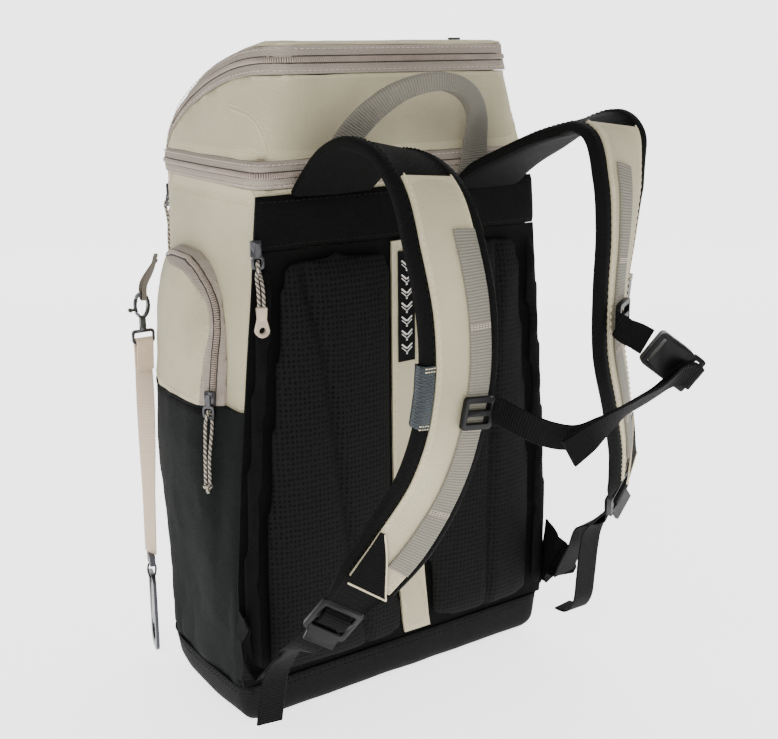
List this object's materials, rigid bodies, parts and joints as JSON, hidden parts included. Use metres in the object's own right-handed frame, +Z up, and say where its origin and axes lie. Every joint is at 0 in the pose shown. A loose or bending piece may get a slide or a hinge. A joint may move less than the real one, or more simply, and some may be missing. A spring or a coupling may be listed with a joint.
{
  "type": "cooler backpack",
  "caption": "Upright insulated backpack with a hooded zip lid, zipped side pockets, padded back, shoulder straps with a chest strap, and a clip-on bottle opener.",
  "frame": {"origin": "centre of the flat underside", "axes": "+Z up, -Y the side with the shoulder straps, +X to the right seen from that side"},
  "size_m": [0.3201, 0.4023, 0.499],
  "materials": {
    "tan_cloth": "matte coated weave",
    "zip_tape": "woven tape with a coil zip",
    "black_cloth": "matte weave",
    "boot_cloth": "coated weave",
    "stretch_cloth": "smooth stretch knit",
    "spacer_mesh": "open spacer mesh",
    "grey_webbing": "ribbed webbing",
    "black_webbing": "ribbed webbing",
    "reflective_tape": "fine reflective weave",
    "label": "flat printed weave",
    "black_plastic": "fine moulded grain",
    "dark_steel": "worn plating",
    "gunmetal": "satin coating",
    "moulded_end": "matte",
    "flecked_cord": "braided, with dark flecks",
    "lanyard_webbing": "fine ribbed webbing"
  },
  "bodies": {
    "pack": {"anchor_wing_left": "black_cloth", "anchor_wing_right": "black_cloth", "back_band": "black_cloth", "back_cord": "flecked_cord", "back_panel": "black_cloth", "back_pull_end": "moulded_end", "back_slider": "dark_steel", "base_boot": "boot_cloth", "body_shell": "tan_cloth", "bottle_opener": "gunmetal", "buckle_plug": "black_plastic", "buckle_socket": "black_plastic", "centre_strip": "tan_cloth", "clasp_hook": "dark_steel", "edge_loop_left": "reflective_tape", "edge_loop_right": "reflective_tape", "edge_roll_left": "black_cloth", "edge_roll_right": "black_cloth", "front_cord": "flecked_cord", "front_pull_end": "moulded_end", "front_slider": "dark_steel", "grab_handle": "grey_webbing", "ladder_lock_left": "black_plastic", "ladder_lock_right": "black_plastic", "lanyard_joiner": "gunmetal", "lanyard_loop": "lanyard_webbing", "lanyard_strap": "lanyard_webbing", "lid_hood": "tan_cloth", "lid_top": "tan_cloth", "lower_webbing_left": "black_webbing", "lower_webbing_right": "black_webbing", "main_zip": "zip_tape", "mesh_pad_left": "spacer_mesh", "mesh_pad_right": "spacer_mesh", "side_cord_left": "flecked_cord", "side_cord_right": "flecked_cord", "side_pocket_left": "tan_cloth", "side_pocket_right": "tan_cloth", "side_slider_left": "dark_steel", "side_slider_right": "dark_steel", "side_zip_left": "zip_tape", "side_zip_right": "zip_tape", "sternum_slider_left": "black_plastic", "sternum_slider_right": "black_plastic", "sternum_webbing_left": "black_webbing", "sternum_webbing_right": "black_webbing", "strap_cover_left": "tan_cloth", "strap_cover_right": "tan_cloth", "strap_ladder_left": "grey_webbing", "strap_ladder_right": "grey_webbing", "strap_pad_left": "black_cloth", "strap_pad_right": "black_cloth", "stretch_panel_left": "stretch_cloth", "stretch_panel_right": "stretch_cloth", "strip_label": "label", "top_pull": "dark_steel", "top_zip": "zip_tape"},
    "gate": {"clasp_gate": "dark_steel"}
  },
  "joints": [
    {"name": "clasp_gate_hinge", "type": "hinge", "parent": "pack", "child": "gate", "pos_m": [-0.15358, 0.053, 0.2956], "axis": [0, 1, 0], "range_deg": [0, 14], "stiffness_Nm_per_rad": 0.02, "springref_deg": -11.46}
  ]
}
